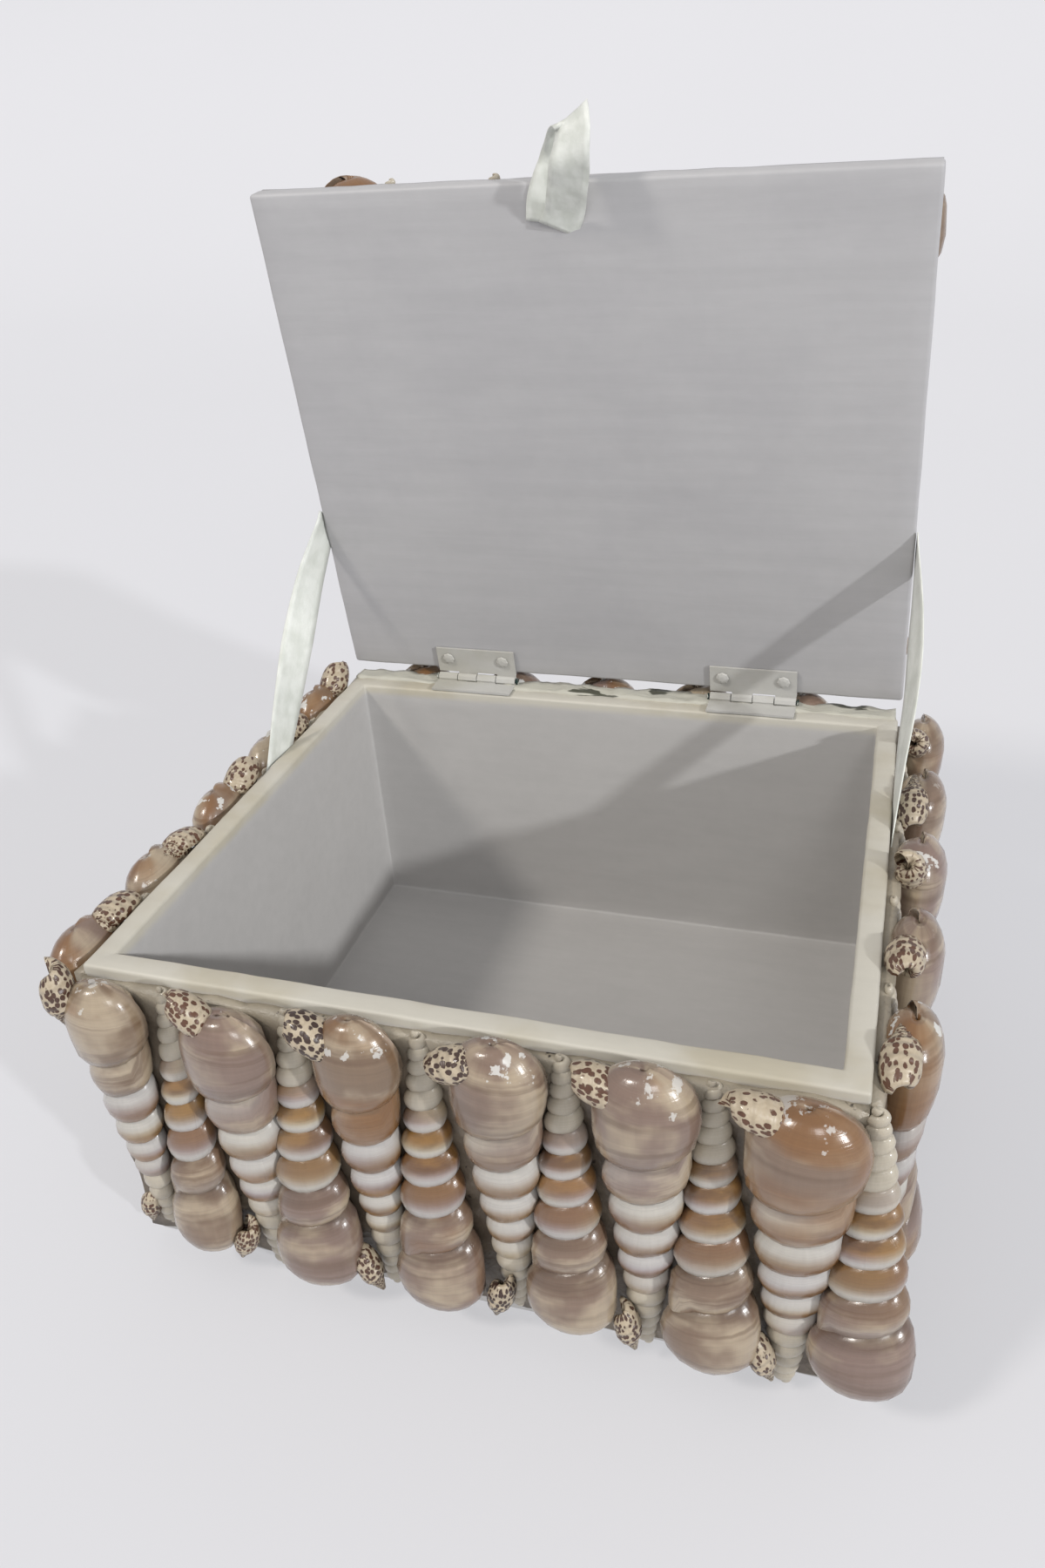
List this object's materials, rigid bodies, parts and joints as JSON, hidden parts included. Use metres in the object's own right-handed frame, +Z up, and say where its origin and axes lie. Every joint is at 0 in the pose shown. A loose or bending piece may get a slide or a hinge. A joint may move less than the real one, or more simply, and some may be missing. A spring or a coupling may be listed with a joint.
{
  "type": "shell box",
  "caption": "White-painted wooden box with a hinged lid and ribbon stays, set round all its sides and over its lid with upright turret shells.",
  "frame": {"origin": "middle of the box body's underside, on the surface it stands on", "axes": "+Z up, -Y towards the front that faces the user, +X to the user's right"},
  "size_m": [0.2382, 0.2144, 0.2937],
  "materials": {
    "white_paint": "brushed white paint on board, satin, with drips and fine brush marks",
    "turret_shell": "polished natural shell, mauve-brown body whorls, cream and orange-brown spire",
    "satin_ribbon": "white woven satin ribbon",
    "painted_hinge": "steel hinge leaf painted over in white",
    "hinge_pin": "dull steel pin, dark and green-tinged"
  },
  "bodies": {
    "box": {"back_shell_01": "turret_shell", "back_shell_02": "turret_shell", "back_shell_03": "turret_shell", "back_shell_04": "turret_shell", "back_shell_05": "turret_shell", "back_shell_06": "turret_shell", "back_shell_07": "turret_shell", "back_shell_08": "turret_shell", "back_shell_09": "turret_shell", "back_shell_10": "turret_shell", "back_shell_11": "turret_shell", "box_body": "white_paint", "front_shell_01": "turret_shell", "front_shell_02": "turret_shell", "front_shell_03": "turret_shell", "front_shell_04": "turret_shell", "front_shell_05": "turret_shell", "front_shell_06": "turret_shell", "front_shell_07": "turret_shell", "front_shell_08": "turret_shell", "front_shell_09": "turret_shell", "front_shell_10": "turret_shell", "front_shell_11": "turret_shell", "front_shell_12": "turret_shell", "hinge_left_pin": "hinge_pin", "hinge_left_rim_leaf": "painted_hinge", "hinge_right_pin": "hinge_pin", "hinge_right_rim_leaf": "painted_hinge", "left_shell_01": "turret_shell", "left_shell_02": "turret_shell", "left_shell_03": "turret_shell", "left_shell_04": "turret_shell", "left_shell_05": "turret_shell", "left_shell_06": "turret_shell", "left_shell_07": "turret_shell", "left_shell_08": "turret_shell", "left_shell_09": "turret_shell", "right_shell_01": "turret_shell", "right_shell_02": "turret_shell", "right_shell_03": "turret_shell", "right_shell_04": "turret_shell", "right_shell_05": "turret_shell", "right_shell_06": "turret_shell", "right_shell_07": "turret_shell", "right_shell_08": "turret_shell", "right_shell_09": "turret_shell", "stay_ribbon_left": "satin_ribbon", "stay_ribbon_right": "satin_ribbon"},
    "lid": {"hinge_left_lid_leaf": "painted_hinge", "hinge_left_screw_inner": "painted_hinge", "hinge_left_screw_outer": "painted_hinge", "hinge_right_lid_leaf": "painted_hinge", "hinge_right_screw_inner": "painted_hinge", "hinge_right_screw_outer": "painted_hinge", "lid_board": "white_paint", "lid_shells_hinge_left": "turret_shell", "lid_shells_hinge_right": "turret_shell", "lid_shells_pull_left": "turret_shell", "lid_shells_pull_right": "turret_shell", "pull_ribbon": "satin_ribbon"}
  },
  "joints": [
    {"name": "lid_hinge", "type": "hinge", "parent": "box", "child": "lid", "pos_m": [0, 0.0875, 0.10175], "axis": [1, 0, 0], "range_deg": [0, 82.2], "deforming": ["stay_ribbon_left", "stay_ribbon_right"]}
  ]
}
